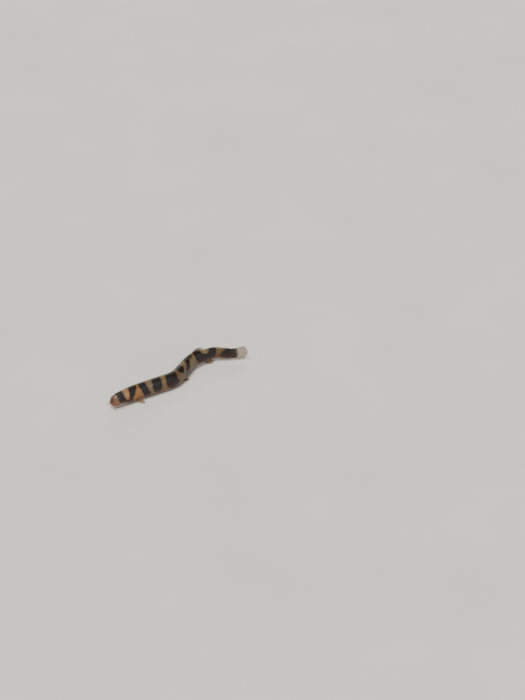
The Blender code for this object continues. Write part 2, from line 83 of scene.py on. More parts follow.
# The spine seen from above: its way at the snout in degrees from +X, and its bends, each from where
# to where behind the snout and by how many degrees towards +Y.
FIRST_HEADING = 3.0
BENDS = (
    (10.5, 17.0, -5.5),
    (31.0, 42.0, 36.0),
    (48.8, 57.0, -37.0),
    (63.2, 68.8, -32.0),
    (72.0, 84.0, 12.0),
)
SPINE_STEP = 0.25
SPINE_REACH = 92.0
# The place in that view that lies on the frame's origin.
PLAN_MIDDLE = np.array((39.05, 3.1, 0.0))

# The gill cover: its rear edge, where it starts to rise and by how much, how far its edge bows to the
# rear and where that ends behind it, and its middle and reach round the body in degrees.
GILL_CUT = 10.4
GILL_COVER_START = 5.6
GILL_COVER_RISE = 0.24
GILL_BOW = 0.95
GILL_BOW_END = 15.0
GILL_COVER_MIDDLE = 103.0
GILL_COVER_REACH = 62.0

# The head's features: how far behind the snout, their turn in degrees, and their sizes.
EYE_AT = 4.5
EYE_TURN = 57.0
EYE_RADIUS = 0.63
EYE_SINK = 0.27
FRONT_NOSTRIL = (1.55, 50.0)
REAR_NOSTRIL = (2.45, 52.0)
MOUTH_FRONT = 1.75
MOUTH_HALF_WIDTH = 1.25
MOUTH_SWEEP = 1.25
LOWER_LIP_BEHIND = 0.68

# The camera: where the snout's tip falls in the 525 by 700 picture, and the photo's viewing angle.
PICTURE = (525, 700)
SNOUT_PIXEL = (110.2, 403.5)
CAMERA_AZIMUTH = -31.0
CAMERA_ELEVATION = 38.0
CAMERA_DISTANCE = 600.0
FOCAL_PIXELS = 1200.0
SENSOR = 36.0

# The studio: the sky's colours, how far the floor reaches in metres, and each lamp's place, its width
# in the sky in degrees, its strength and its colour.
HORIZON = (0.88, 0.87, 0.85, 1.0)
SKY = (0.13, 0.13, 0.14, 1.0)
FLOOR_REACH = 60.0
LAMPS = {
    "key": ((-0.20, -0.05, 0.62), 28.0, 3.3, (1.00, 0.96, 0.90)),
    "fill": ((0.10, -0.60, 0.35), 42.0, 0.7, (0.95, 0.97, 1.00)),
    "rim": ((0.25, 0.50, 0.30), 42.0, 0.8, (1.00, 0.97, 0.93)),
}

rng = np.random.default_rng(7)


# The body's shape.


def smooth(x):
    """0 before 0, 1 after 1, and an easy curve between."""
    x = np.clip(x, 0.0, 1.0)
    return x * x * (3.0 - 2.0 * x)


def climb(x, start, reach):
    """0 up to start, then an easy climb to 1 over reach."""
    return smooth((x - start) / reach)


def bump(x, middle, half_width):
    """1 at the middle, 0 from half_width away on."""
    return 1.0 - smooth(np.abs(x - middle) / half_width)


def mixed(a, b, t):
    """From a at t = 0 to b at t = 1."""
    return a + (b - a) * t


def through(share, column):
    """A smooth curve through one column of the stations."""
    x, y = STATIONS[:, 0], STATIONS[:, column]
    slope = np.empty(len(x))
    slope[1:-1] = (y[2:] - y[:-2]) / (x[2:] - x[:-2])
    slope[0] = (y[1] - y[0]) / (x[1] - x[0])
    slope[-1] = (y[-1] - y[-2]) / (x[-1] - x[-2])
    share = np.clip(share, x[0], x[-1])
    i = np.clip(np.searchsorted(x, share) - 1, 0, len(x) - 2)
    span = x[i + 1] - x[i]
    t = (share - x[i]) / span
    return (
        (2 * t**3 - 3 * t**2 + 1) * y[i]
        + (t**3 - 2 * t**2 + t) * span * slope[i]
        + (3 * t**2 - 2 * t**3) * y[i + 1]
        + (t**3 - t**2) * span * slope[i + 1]
    )


def heading(s):
    """The way the spine runs at s, seen from above, in radians from +X."""
    turned = sum(turn * climb(s, start, end - start) for start, end, turn in BENDS)
    return np.radians(FIRST_HEADING + turned)


def walked_spine():
    """Points of the spine on the floor, one every SPINE_STEP, from the snout on."""
    ways = heading((np.arange(int(SPINE_REACH / SPINE_STEP)) + 0.5) * SPINE_STEP)
    steps = SPINE_STEP * np.stack([np.cos(ways), np.sin(ways)], axis=1)
    return np.vstack([(0.0, 0.0), np.cumsum(steps, axis=0)])


SPINE = walked_spine()


def placed(s, left, height):
    """Points of the straight body, bent along the spine, in metres."""
    s, left, height = np.broadcast_arrays(s, left, height)
    k = np.clip((s / SPINE_STEP).astype(int), 0, len(SPINE) - 2)
    foot = SPINE[k] + (SPINE[k + 1] - SPINE[k]) * (s / SPINE_STEP - k)[..., None]
    way = heading(s)
    bent = np.stack(
        [foot[..., 0] + left * np.sin(way), foot[..., 1] - left * np.cos(way), height], axis=-1
    )
    return (bent - PLAN_MIDDLE) * MM


def section(s):
    """Heights of the back, the widest level and the belly, and the half width, at s."""
    share = s / STANDARD_LENGTH
    back = through(share, 1) * BODY_DEPTH
    belly = through(share, 2) * BODY_DEPTH
    half_width = through(share, 3) * BODY_WIDTH / 2
    widest = belly + WIDEST_LEVEL * (back - belly)
    cap = np.sqrt(np.maximum(0.0, 1.0 - np.maximum(0.0, 1.0 - s / SNOUT_CAP) ** 2))
    past = np.maximum(0.0, (s - STANDARD_LENGTH + TAIL_CAP) / TAIL_CAP)
    back = widest + (back - widest) * cap - TAIL_CAP_LOSS * past**3
    belly = widest + (belly - widest) * cap + TAIL_CAP_LOSS * past**3
    half_width = half_width * cap
    half_width *= mixed(1.0, TAIL_END_THICKNESS, past**TAIL_TAPER)
    return back, widest, belly, half_width


def share_of_depth(s, height):
    """How high a point lies, 0 on the belly and 1 on the back, as if the snout weren't rounded off."""
    share = s / STANDARD_LENGTH
    back, belly = through(share, 1) * BODY_DEPTH, through(share, 2) * BODY_DEPTH
    return (height - belly) / (back - belly)


def gill_cover(turn):
    """1 at the middle of the gill cover's side, 0 above and below it."""
    return bump(np.abs(np.degrees(turn)), GILL_COVER_MIDDLE, GILL_COVER_REACH)


def skin(s, turn, swell=0.0):
    """Points of the straight body's skin. turn is 0 on the back, pi/2 on the left, -pi/2 on the
    right and pi on the belly."""
    back, widest, belly, half_width = section(s)
    up, out = np.cos(turn), np.sin(turn)
    roundness = np.where(up > 0, BACK_ROUNDNESS, BELLY_ROUNDNESS)
    reach = np.where(up > 0, back - widest, widest - belly)
    side = np.sign(out) * np.abs(out) ** (2 / roundness)
    level = np.sign(up) * np.abs(up) ** (2 / roundness)
    left = side * (half_width + swell)
    height = np.maximum(0.0, widest + level * reach)
    return np.stack(np.broadcast_arrays(s, left, height), axis=-1)


def unit(v):
    """Directions of length 1."""
    return v / np.maximum(np.linalg.norm(v, axis=-1, keepdims=True), 1e-12)


def skin_normal(s, turn):
    """The straight body's outward direction on its skin."""
    step = 0.05
    along = skin(s + step, turn) - skin(np.maximum(0.0, s - step), turn)
    around = skin(s, turn + step) - skin(s, turn - step)
    return unit(np.cross(along, around))


# Meshes.


def linked(name, data):
    """A new object in the scene."""
    made = bpy.data.objects.new(name, data)
    bpy.context.scene.collection.objects.link(made)
    return made


def make_object(name, points, faces, material):
    """A smooth mesh object of points and faces."""
    mesh = bpy.data.meshes.new(name)
    mesh.from_pydata(np.asarray(points).reshape(-1, 3).tolist(), [], faces)
    mesh.validate()
    mesh.update()
    mesh.materials.append(material)
    mesh.shade_smooth()
    return linked(name, mesh)


def give(made, name, values):
    """Stores one number a point, for the materials."""
    layer = made.data.attributes.new(name, "FLOAT", "POINT")
    layer.data.foreach_set("value", np.asarray(values, np.float32).ravel())


def grid_faces(rows, columns, closed):
    """Quads over a grid of points numbered row by row, joined round if closed."""
    last = columns if closed else columns - 1
    return [
        (r * columns + k, r * columns + (k + 1) % columns,
         (r + 1) * columns + (k + 1) % columns, (r + 1) * columns + k)
        for r in range(rows - 1)
        for k in range(last)
    ]


def tube_faces(rings, sides):
    """Quads round a tube and fans to its two tips, the two points after those of its rings."""
    total, end = rings * sides, (rings - 1) * sides
    faces = grid_faces(rings, sides, True)
    faces += [((k + 1) % sides, k, total) for k in range(sides)]
    faces += [(end + k, end + (k + 1) % sides, total + 1) for k in range(sides)]
    return faces


# The skin.

SIDES = 192
SNOUT_RINGS = 26
HEAD_STEP = 0.09
NECK_END = 13.0
NECK_STEP = 0.12
TRUNK_STEP = 0.225
TAIL_RINGS = 14
# The gill slit: how far behind the cover's edge it is deepest, how deep, and how far it reaches.
GILL_SLIT = 0.07
GILL_SLIT_DEPTH = 0.10
GILL_SLIT_REACH = 0.35
# The skin lies this far inside the solids' sides, so that it stays in their box.
SKIN_INSET = 0.005


def ring_places():
    """How far behind the snout each ring of the skin lies, closest on the head."""
    snout = SNOUT_CAP * (1 - np.cos(np.pi / 2 * np.arange(1, SNOUT_RINGS + 1) / SNOUT_RINGS))
    head = np.linspace(SNOUT_CAP, GILL_CUT, round((GILL_CUT - SNOUT_CAP) / HEAD_STEP) + 1)[1:]
    neck = np.linspace(GILL_CUT + GILL_SLIT, NECK_END, round((NECK_END - GILL_CUT) / NECK_STEP) + 1)
    end = STANDARD_LENGTH - TAIL_CAP
    trunk = np.linspace(NECK_END, end, round((end - NECK_END) / TRUNK_STEP) + 1)[1:]
    tail = end + TAIL_CAP * np.sin(np.pi / 2 * np.arange(1, TAIL_RINGS + 1) / TAIL_RINGS)
    return np.concatenate([snout, head, neck, trunk, tail])


def near(points, s, turn_degrees):
    """How far points are from a place on the skin, on either side: only their left is ever negative."""
    return np.linalg.norm(np.abs(points) - skin(s, np.radians(turn_degrees)), axis=-1)


def mouth_arc(points, front, half_width):
    """Signed distance behind a crescent on the underside of the snout, and the angle along it."""
    x = (front + MOUTH_SWEEP - points[..., 0]) / MOUTH_SWEEP
    y = points[..., 1] / half_width
    round_share = np.maximum(np.hypot(x, y), 1e-6)
    growth = np.hypot(x / MOUTH_SWEEP, y / half_width) / round_share
    return (1.0 - round_share) / np.maximum(growth, 1e-6), np.arctan2(np.abs(y), x)


LIP_HEIGHT = 0.26
LIP_HALF_WIDTH = 0.37
LIP_FOLDS = 31.0
LIP_FOLD_SHARE = 0.10
LOWER_LIP_WIDTH = 0.88
LOWER_LIP_NOTCH = 0.45
LOWER_LIP_NOTCH_REACH = 0.26
MOUTH_WIDTH = 0.97
MOUTH_DEPTH = 0.34
MOUTH_REACH = 0.13
# The angles along their arcs where the lips and the mouth's line start to fade, and over how much.
LIP_ENDS = (66.0, 28.0)
MOUTH_ENDS = (80.0, 22.0)


def lip_relief(points, underneath):
    """The lips, and the line of the mouth between them."""
    relief = np.zeros(points.shape[:-1])
    for front, width, notch in (
        (MOUTH_FRONT, MOUTH_HALF_WIDTH, 0.0),
        (MOUTH_FRONT + LOWER_LIP_BEHIND, MOUTH_HALF_WIDTH * LOWER_LIP_WIDTH, LOWER_LIP_NOTCH),
    ):
        away, angle = mouth_arc(points, front, width)
        ends = 1.0 - climb(np.degrees(angle), *LIP_ENDS)
        fold = 1.0 + LIP_FOLD_SHARE * np.sin(angle * LIP_FOLDS)
        middle = 1.0 - notch * bump(points[..., 1], 0.0, LOWER_LIP_NOTCH_REACH)
        dome = np.sqrt(np.maximum(0.0, 1.0 - (away / LIP_HALF_WIDTH) ** 2))
        relief = np.maximum(relief, LIP_HEIGHT * dome * ends * fold * middle)
    line_front = MOUTH_FRONT + LOWER_LIP_BEHIND / 2
    away, angle = mouth_arc(points, line_front, MOUTH_HALF_WIDTH * MOUTH_WIDTH)
    ends = 1.0 - climb(np.degrees(angle), *MOUTH_ENDS)
    relief -= MOUTH_DEPTH * bump(away, 0.0, MOUTH_REACH) * ends
    return relief * underneath


# Round rises and pits of the skin: how far behind the snout, the turn, how far round that place it is
# highest, over how much it fades, and its height. The head has the eye's mound and ring, the rear
# nostril's rim and pit, and the front nostril's mound.
HEAD_ROUNDS = (
    (EYE_AT, EYE_TURN, 0.0, 1.6, 0.06),
    (EYE_AT, EYE_TURN, EYE_RADIUS + 0.08, 0.22, 0.06),
    (*REAR_NOSTRIL, 0.27, 0.15, 0.05),
    (*REAR_NOSTRIL, 0.0, 0.20, -0.24),
    (*FRONT_NOSTRIL, 0.0, 0.62, 0.10),
)
# The body has the roots of the pectoral and the pelvic fins, and the vent's mound and opening.
BODY_ROUNDS = (
    (12.5, 120.0, 0.0, 1.25, 0.16),
    (40.0, 138.0, 0.0, 0.90, 0.10),
    (57.4, 180.0, 0.0, 0.60, 0.12),
    (57.4, 180.0, 0.0, 0.18, -0.20),
)
# Low ridges under the dorsal and the anal fin: the turn and half width in degrees, where each starts
# and over how much, where it ends and over how much, and its height.
FIN_RIDGES = (
    (0.0, 15.0, 51.2, 1.4, 58.0, 1.8, 0.20),
    (180.0, 16.0, 58.0, 1.2, 64.0, 1.4, 0.18),
)
SOCKET_DEPTH = 0.5
SOCKET_INSET = 0.02
SOCKET_EDGE = 0.14
# The slit of the small spine under the eye: its two ends as how far behind the snout and their turn.
SPINE_SLIT = ((3.75, 86.0), (4.75, 80.0))
SPINE_SLIT_STEPS = 5
SPINE_SLIT_REACH = 0.16
SPINE_SLIT_DEPTH = 0.05
# From where round the head its underside starts, and over how much, in degrees.
UNDERSIDE = (104.0, 16.0)
# The folds inside the bends: their depth and spacing, how fast a bend brings them out, and their sway.
FOLD_DEPTH = 0.035
FOLD_SPACING = 1.05
FOLD_GAIN = 12.0
FOLD_SWAY = 0.25


def round_relief(points, rounds):
    """The rises and pits of a list of round features."""
    relief = np.zeros(points.shape[:-1])
    for s, turn, ring, reach, height in rounds:
        relief += height * bump(near(points, s, turn), ring, reach)
    return relief


def head_relief(points, turn):
    """How far the head's features stand out of its plain skin, in millimetres."""
    degrees = np.abs(np.degrees(turn))
    relief = lip_relief(points, climb(degrees, *UNDERSIDE))
    relief += round_relief(points, HEAD_ROUNDS)
    eye = near(points, EYE_AT, EYE_TURN)
    relief -= SOCKET_DEPTH * smooth((EYE_RADIUS - SOCKET_INSET - eye) / SOCKET_EDGE)
    (front, front_turn), (rear, rear_turn) = SPINE_SLIT
    for step in np.linspace(0.0, 1.0, SPINE_SLIT_STEPS):
        slit = near(points, mixed(front, rear, step), mixed(front_turn, rear_turn, step))
        relief -= SPINE_SLIT_DEPTH * bump(slit, 0.0, SPINE_SLIT_REACH)
    return relief


def body_relief(points, s, turn):
    """Low mounds where the fins grow, the vent, and soft folds inside the bends."""
    degrees = np.abs(np.degrees(turn))
    relief = round_relief(points, BODY_ROUNDS)
    for middle, half_width, start, start_reach, end, end_reach, height in FIN_RIDGES:
        along = climb(s, start, start_reach) * smooth((end - s) / end_reach)
        relief += height * bump(degrees, middle, half_width) * along
    bend = (heading(s + 0.5) - heading(s - 0.5)) * FOLD_GAIN
    inside = np.maximum(0.0, -np.sin(turn) * bend)
    wander = s + FOLD_SWAY * np.sin(3.0 * turn + 1.3 * s)
    relief -= FOLD_DEPTH * np.minimum(1.0, inside) * np.cos(np.pi * wander / FOLD_SPACING) ** 2
    return relief


# The dark bands, as read from the photo: where each starts and ends behind the snout on the back, on
# the flank and low on the flank, and how near the belly it comes as a share of the depth.
BANDS = (
    (3.5, 6.8, 3.6, 7.1, 4.2, 8.0, 0.28),
    (10.4, 14.6, 9.9, 13.0, 9.2, 11.6, 0.24),
    (15.9, 19.7, 16.8, 20.4, 17.7, 21.4, 0.18),
    (23.4, 28.1, 22.9, 28.0, 23.5, 27.7, 0.22),
    (31.0, 36.6, 30.2, 36.2, 31.1, 37.0, 0.17),
    (38.4, 42.6, 39.0, 41.9, 39.6, 41.0, 0.74),
    (46.2, 49.0, 43.0, 47.2, 41.6, 46.7, 0.14),
    (47.6, 53.6, 48.4, 53.6, 48.4, 53.6, 0.955),
    (54.0, 58.3, 54.2, 62.3, 55.6, 63.6, 0.13),
    (63.0, 67.3, 61.1, 67.4, 61.3, 66.9, 0.20),
    (72.6, 79.0, 70.5, 79.0, 69.5, 79.0, 0.10),
)
# The dark streak that joins the first two bands low on the cheek: its two ends, as how far behind the
# snout and how high, and its half width.
STREAK = ((5.4, 0.42), (10.2, 0.28), 1.0)
BACK_LEVEL = 0.985
FLANK_LEVEL = 0.72
LOW_LEVEL = 0.45
# How far the right side's bands are out of step, which share of its length a band loses at either end
# near the belly, by how much that varies, how far over its lower end it starts, and how softly.
OUT_OF_STEP = 0.35
PINCH = 0.30
PINCH_VARIES = 0.06
PINCH_START = 0.24
PINCH_EDGE = 0.26
NO_BAND = -9.0


def band_depth(s, high, side):
    """How deep inside a dark band a point lies, in millimetres, below zero between bands. high is 0
    on the belly and 1 on the back."""
    depth = np.full(s.shape, NO_BAND)
    to_back = climb(high, FLANK_LEVEL, BACK_LEVEL - FLANK_LEVEL)
    to_low = smooth((FLANK_LEVEL - high) / (FLANK_LEVEL - LOW_LEVEL))
    for k, (*ends, lowest) in enumerate(BANDS):
        shift = OUT_OF_STEP * math.sin(2.3 * k + 1.0) * np.where(side < 0, 1.0 - to_back, 0.0)
        start, end = (
            mixed(mixed(flank, back, to_back), low, to_low) + shift
            for back, flank, low in (ends[0::2], ends[1::2])
        )
        pinch = (PINCH + PINCH_VARIES * math.sin(5.1 * k)) * (end - start)
        pinch = pinch * smooth((lowest + PINCH_START - high) / PINCH_EDGE)
        here = np.minimum(s - start - pinch, end - pinch - s)
        depth = np.maximum(depth, np.minimum(here, (high - lowest) * BODY_DEPTH))
    (start, start_level), (end, end_level), half_width = STREAK
    share = np.clip((s - start) / (end - start), 0.0, 1.0)
    aside = s - mixed(start, end, share)
    above = (high - mixed(start_level, end_level, share)) * BODY_DEPTH
    return np.maximum(depth, half_width - np.hypot(aside, above))


# The flush's two stripes: how far behind the snout each crosses the flank, its slant, its half width,
# from where round the body it shows, over how much, and its strength. Both fade towards the belly.
FLUSH_STRIPES = (
    (10.0, -0.02, 1.5, 70.0, 24.0, 1.0),
    (5.7, 1.0 / 7.5, 1.6, 76.0, 12.0, 0.6),
)
FLUSH_END = (114.0, 26.0)


def gill_flush(s, turn):
    """1 where the blood shows dark red through the skin, along the gills' lower edge."""
    degrees = np.abs(np.degrees(turn))
    flush = np.zeros(s.shape)
    for place, slant, half_width, start, reach, strength in FLUSH_STRIPES:
        stripe = bump(s, place + slant * (degrees - 90.0), half_width) * climb(degrees, start, reach)
        flush = np.maximum(flush, strength * stripe)
    return flush * (1.0 - climb(degrees, *FLUSH_END))


# The map for pictures of the skin lays the body, parted at these places, in two by two cells.
MAP_CUTS = (NECK_END, 34.0, 55.0)
MAP_CELL = 0.5
MAP_MARGIN = 0.01
MAP_SHARE = 0.48


def bake_map(made, places):
    """Lays the skin's faces in its map. The head's stretch is the largest in scale."""
    stretch = np.searchsorted(MAP_CUTS, places)
    cuts = np.searchsorted(stretch, range(len(MAP_CUTS) + 2))
    layer = made.data.uv_layers.new(name="OFBake")
    uv = np.zeros((len(made.data.loops), 2))
    total = len(places) * SIDES
    for face in made.data.polygons:
        points = np.array(face.vertices)
        ring = np.minimum(points // SIDES, len(places) - 1)
        side = (points % SIDES).astype(float)
        tip = points >= total
        if side.max() - side[~tip].min() > SIDES / 2:
            side[side < SIDES / 2] += SIDES
        if tip.any():
            ring[tip] = 0 if points[tip][0] == total else len(places) - 1
            side[tip] = side[~tip].mean()
        cell = stretch[ring.min()]
        last = min(cuts[cell + 1], len(places) - 1)
        begin = 0.0 if cell == 0 else places[cuts[cell]]
        along = places[ring] * ~(tip & (points == total))
        across = np.clip((along - begin) / (places[last] - begin), 0.0, 1.0)
        corner = MAP_MARGIN + MAP_CELL * np.array((cell % 2, cell // 2))
        inside = MAP_SHARE * np.stack([across, 1.0 - side / SIDES], axis=1)
        uv[face.loop_start:face.loop_start + face.loop_total] = corner + inside
    layer.data.foreach_set("uv", uv.ravel().astype(np.float32))


def skin_piece():
    """The whole body's skin as one mesh, from the snout to the root of the tail fin."""
    places = ring_places()
    turns = np.pi * (2.0 * np.arange(SIDES) / SIDES - 1.0)
    ring, turn = places[:, None], turns[None, :]
    cover = gill_cover(turn)
    rise = climb(ring, GILL_COVER_START, GILL_CUT - GILL_COVER_START)
    bow = np.where(ring <= GILL_CUT, rise, 1.0 - climb(ring, GILL_CUT, GILL_BOW_END - GILL_CUT))
    slit = -GILL_SLIT_DEPTH * bump(ring, GILL_CUT + GILL_SLIT, GILL_SLIT_REACH)
    swell = cover * np.where(ring <= GILL_CUT, GILL_COVER_RISE * rise, slit)
    s = ring + GILL_BOW * bow * cover
    turn = np.broadcast_to(turn, s.shape)
    plain = skin(s, turn, swell - SKIN_INSET)
    relief = np.where(s < NECK_END, head_relief(plain, turn), 0.0) + body_relief(plain, s, turn)
    points = plain + skin_normal(s, turn) * relief[..., None]
    points[..., 2] = np.maximum(points[..., 2], 0.0)
    high = share_of_depth(s, points[..., 2])

    first, last = section(0.0)[1], section(STANDARD_LENGTH)[1]
    flat = placed(*np.moveaxis(points, -1, 0)).reshape(-1, 3)
    tips = [placed(0.0, 0.0, first), placed(STANDARD_LENGTH + 0.1, 0.0, last)]
    faces = tube_faces(len(places), SIDES)
    made = make_object("skin", np.vstack([flat, tips]), faces, skin_material())
    bake_map(made, places)

    # What the materials read: the values on the rings, on the snout's tip and on the tail's.
    for name, values, *at_tips in (
        ("along", points[..., 0], 0.0, STANDARD_LENGTH),
        ("high", high, WIDEST_LEVEL, WIDEST_LEVEL),
        ("band", band_depth(points[..., 0], high, points[..., 1]), -2.0, 1.0),
        # How deep the skin's hollows are, which the skin material darkens as painted shade.
        ("hollow_shade", np.maximum(0.0, -relief), 0.0, 0.0),
        ("flush", gill_flush(points[..., 0], turn), 0.0, 0.0),
    ):
        give(made, name, np.concatenate([np.ravel(values), at_tips]))
    return made


# Eyes, nostrils and barbels.


def frame_at(s, turn_degrees, side, lift=0.0):
    """A place over the skin and the direction out of it, bent into the pose, in metres."""
    turn = math.radians(turn_degrees) * side
    foot, out = skin(s, turn), skin_normal(s, turn)
    start, ahead = placed(*(foot + out * lift)), placed(*(foot + out * (lift + 1.0)))
    return start, unit(ahead - start)


def square_to(axis):
    """Two directions square to an axis and to each other."""
    helper = np.array((0.0, 0.0, 1.0)) if abs(axis[2]) < 0.9 else np.array((1.0, 0.0, 0.0))
    across = unit(np.cross(axis, helper))
    return across, np.cross(axis, across)


def circle(sides, across, over):
    """Directions round one circle, or round one for each pair of directions."""
    angles = 2 * np.pi * np.arange(sides)[:, None] / sides
    return np.cos(angles) * across[..., None, :] + np.sin(angles) * over[..., None, :]


def turned_form(name, place, axis, profile, sides, material):
    """A form turned round an axis: profile is its points as (radius, height) in millimetres."""
    ring = circle(sides, *square_to(axis))
    rings = [place + MM * (r * ring + h * axis) for r, h in profile[1:-1]]
    tips = [place + MM * profile[0][1] * axis, place + MM * profile[-1][1] * axis]
    return make_object(name, np.vstack([*rings, *tips]), tube_faces(len(rings), sides), material)


EYE_RINGS = 49
EYE_SIDES = 56


def eye_piece(word, side):
    """A glossy eyeball, with its pupil and iris marked by the angle from its axis."""
    place, out = frame_at(EYE_AT, EYE_TURN, side, -EYE_SINK)
    angles = np.linspace(np.pi, 0.0, EYE_RINGS)
    profile = [(EYE_RADIUS * math.sin(a), EYE_RADIUS * math.cos(a)) for a in angles]
    made = turned_form(f"eyeball_{word}", place, out, profile, EYE_SIDES, eye_material())
    points = np.array([v.co for v in made.data.vertices])
    give(made, "angle", np.degrees(np.arccos(np.clip(unit(points - place) @ out, -1, 1))))
    return made


# The front nostril's tube, as radius and height over the skin: its wall from below, then its lip and
# its inside.
NOSTRIL_WALL = [(0.0, -0.35), (0.44, -0.35), (0.50, -0.08), (0.36, 0.03), (0.28, 0.11), (0.25, 0.18)]
NOSTRIL_LIP = [(0.24, 0.22), (0.21, 0.24), (0.175, 0.225), (0.15, 0.18), (0.135, 0.08), (0.0, 0.0)]
NOSTRIL_SIDES = 28


def nostril_piece(word, side):
    """The short flaring tube round the front nostril, open at its top."""
    place, out = frame_at(*FRONT_NOSTRIL, side)
    profile = NOSTRIL_WALL + NOSTRIL_LIP
    return turned_form(f"nostril_{word}", place, out, profile, NOSTRIL_SIDES, barbel_material())


# Each pair of barbels as in the solids: how far behind the snout, its turn, its length, the radius of
# its root, and how far its tip leads ahead, outward and down.
BARBELS = {
    "rostral": (0.40, 128.0, 2.5, 0.27, (0.62, 0.36, 0.62)),
    "snout_side": (1.25, 116.0, 2.9, 0.27, (0.30, 0.66, 0.66)),
    "mouth_corner": (3.20, 132.0, 3.4, 0.28, (-0.52, 0.70, 0.36)),
    "chin": (4.05, 158.0, 2.0, 0.25, (-0.66, 0.30, 0.20)),
}
BARBEL_SINK = 0.45
BARBEL_KNEE = 0.32
BARBEL_TIP_RADIUS = 0.09
BARBEL_SLIMMING = 0.86
BARBEL_TAPER = 1.1
BARBEL_RIPPLE = 0.02
BARBEL_RIPPLES_A_MM = 14.0
# How much a barbel flares at the skin, how far out, and how far under it that starts.
BARBEL_FLARE = 0.13
BARBEL_FLARE_REACH = 0.26
BARBEL_FLARE_SUNK = 0.3
BARBEL_PLACES = 44
BARBEL_SIDES = 20


def barbel_piece(kind, word, side):
    """A feeler that flares out of the skin and tapers to a round tip."""
    s, turn, length, root, (ahead, out, down) = BARBELS[kind]
    turn = math.radians(turn) * side
    foot, normal = skin(s, turn), skin_normal(s, turn)
    start = foot - normal * BARBEL_SINK
    knee = foot + normal * length * BARBEL_KNEE
    tip = foot + np.array((-ahead, out * side, -down)) * length
    t = np.linspace(0.0, 1.0, BARBEL_PLACES)[:, None]
    straight = start * (1 - t) ** 2 + knee * 2 * t * (1 - t) + tip * t * t
    path = placed(*straight.T)
    walked = np.concatenate([[0.0], np.cumsum(np.linalg.norm(np.diff(straight, axis=0), axis=1))])
    above = walked - BARBEL_SINK
    radii = mixed(root * BARBEL_SLIMMING, BARBEL_TIP_RADIUS, t[:, 0] ** BARBEL_TAPER)
    radii = radii * (1.0 + BARBEL_RIPPLE * np.sin(walked * BARBEL_RIPPLES_A_MM))
    flare = BARBEL_FLARE * np.exp(-np.maximum(above, 0.0) / BARBEL_FLARE_REACH)
    radii += flare * (above > -BARBEL_FLARE_SUNK)
    left_over = (walked[-1] - walked) / BARBEL_TIP_RADIUS
    radii *= np.sqrt(np.clip(1.0 - (1.0 - np.clip(left_over, 0.0, 1.0)) ** 2, 0.0, 1.0))
    ways = unit(np.gradient(path, axis=0))
    across = np.zeros_like(ways)
    across[0] = square_to(ways[0])[0]
    for k in range(1, len(ways)):
        across[k] = unit(across[k - 1] - ways[k] * (across[k - 1] @ ways[k]))
    over = np.cross(ways, across)
    round_path = circle(BARBEL_SIDES, across, over)[:-1]
    rings = path[:-1, None] + MM * radii[:-1, None, None] * round_path
    faces = tube_faces(len(rings), BARBEL_SIDES)
    points = np.vstack([rings.reshape(-1, 3), path[:1], path[-1:]])
    made = make_object(f"feeler_{kind}_{word}", points, faces, barbel_material())
    along = np.repeat(t[:-1, 0], BARBEL_SIDES)
    give(made, "outward", np.concatenate([along, (0.0, 1.0)]))
    return made


# Fins.

FIN_ROWS = 34
CAUDAL_ROWS = 40
COLUMNS_A_RAY = 8
# Half thicknesses in millimetres at the root and the edge, what the very edge keeps of them, and the
# spacing and height of the joints along a ray.
MEMBRANE = (0.04, 0.02)
RAY = (0.10, 0.035)
EDGE_SHARE = 0.45
RAY_JOINT = 0.42
RAY_JOINT_SHARE = 0.16
# How far a ray's two branches part and its widths at root and edge, as shares of the rays' spacing.
FORK = 0.20
RAY_WIDTHS = (0.17, 0.09)
# How much shorter the membrane is between rays, and how unevenly the rays' ends are worn.
SCALLOP = 0.02
TATTER = 0.015
# How far out and over how much a ray forks, slims, is worn and thins, as shares of its length, and its
# ridge rises, in millimetres.
FORKS = (0.38, 0.5)
SLIMS = (0.2, 0.7)
WORN = (0.6, 0.4)
THINS = (0.93, 0.07)
RISES = (0.1, 1.3)
# How uneven a fin's dark stain is from ray to ray, and how much further it runs out on a ray.
STAIN_UNEVEN = 0.8
STAIN_LEAD = 1.5


def ray_pattern(u, v, rays):
    """1 on a ray and 0 on the membrane. Each ray forks on its way out."""
    place = u * rays - 0.5
    off = place - np.round(np.clip(place, 0, rays - 1))
    fork = FORK * climb(v, *FORKS)
    width = mixed(*RAY_WIDTHS, climb(v, *SLIMS))
    return np.maximum(np.exp(-(((off - fork) / width) ** 2)), np.exp(-(((off + fork) / width) ** 2)))


